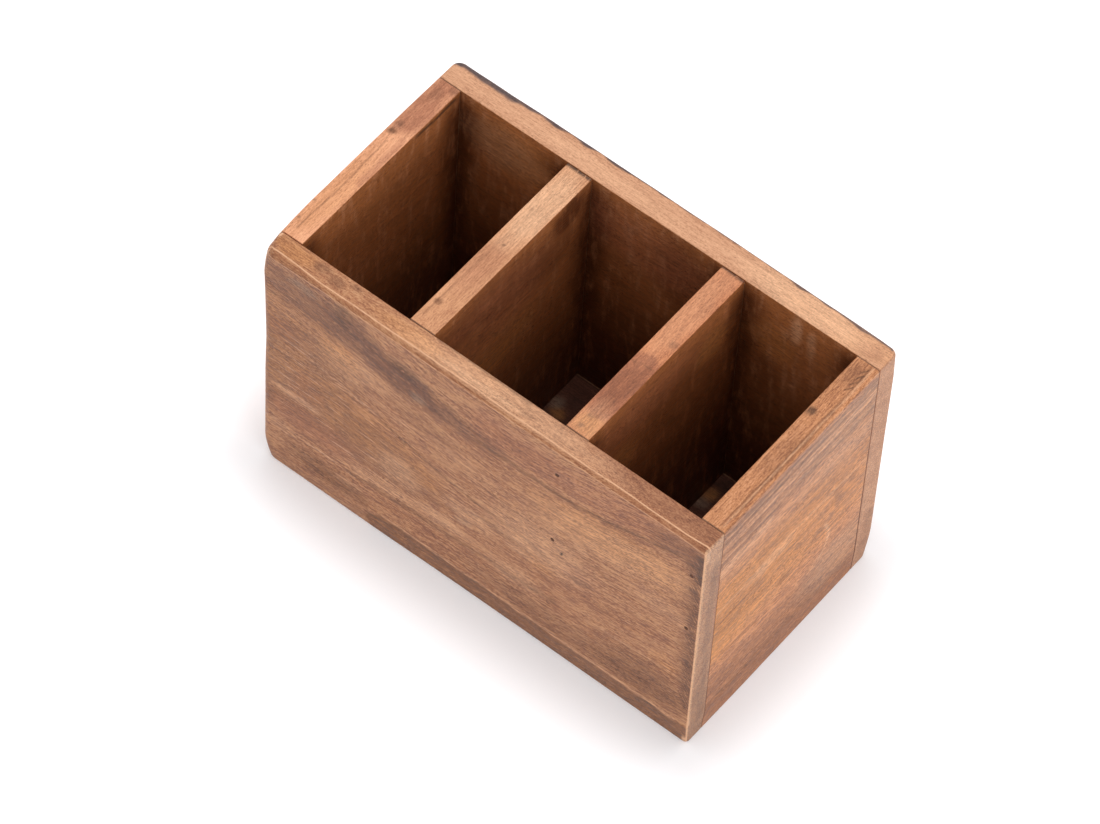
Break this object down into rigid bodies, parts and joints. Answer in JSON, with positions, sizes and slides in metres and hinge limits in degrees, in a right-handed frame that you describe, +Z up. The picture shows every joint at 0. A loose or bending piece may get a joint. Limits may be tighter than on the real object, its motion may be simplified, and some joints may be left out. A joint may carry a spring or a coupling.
{
  "type": "pen box",
  "caption": "Open-topped rectangular wooden pen box with upright dividers between full-length front and back boards, butt-jointed, pinned and rounded along its edges.",
  "frame": {"origin": "middle of the underside, on the surface the box stands on", "axes": "+X along the box to the right as seen from the front, +Y from front to back, +Z up out of the compartments"},
  "size_m": [0.16, 0.089, 0.104],
  "materials": {
    "front_wood": "satin, sanded, brown hardwood with a grey cast and fine open pores",
    "back_wood": "satin, sanded, orange-tan hardwood, stained dark along the rear top edge",
    "end_wood": "satin, sanded, orange-brown hardwood with fine straight pores",
    "divider_wood": "satin, sanded, reddish-tan hardwood",
    "bottom_wood": "matt, thin hardwood panel, dusty on top",
    "pin_steel": "dull drawn steel, darkened"
  },
  "bodies": {
    "root": {"front_board": "front_wood", "back_board": "back_wood", "left_end": "end_wood", "right_end": "end_wood", "left_divider": "divider_wood", "right_divider": "divider_wood", "bottom_panel": "bottom_wood", "pin_front_left_end_top": "pin_steel", "pin_front_left_end_middle": "pin_steel", "pin_front_left_end_low": "pin_steel", "pin_front_left_divider_top": "pin_steel", "pin_front_left_divider_middle": "pin_steel", "pin_front_left_divider_low": "pin_steel", "pin_front_right_divider_top": "pin_steel", "pin_front_right_divider_middle": "pin_steel", "pin_front_right_divider_low": "pin_steel", "pin_front_right_end_top": "pin_steel", "pin_front_right_end_middle": "pin_steel", "pin_front_right_end_low": "pin_steel", "pin_back_left_end_top": "pin_steel", "pin_back_left_end_middle": "pin_steel", "pin_back_left_end_low": "pin_steel", "pin_back_left_divider_top": "pin_steel", "pin_back_left_divider_middle": "pin_steel", "pin_back_left_divider_low": "pin_steel", "pin_back_right_divider_top": "pin_steel", "pin_back_right_divider_middle": "pin_steel", "pin_back_right_divider_low": "pin_steel", "pin_back_right_end_top": "pin_steel", "pin_back_right_end_middle": "pin_steel", "pin_back_right_end_low": "pin_steel"}
  },
  "joints": []
}
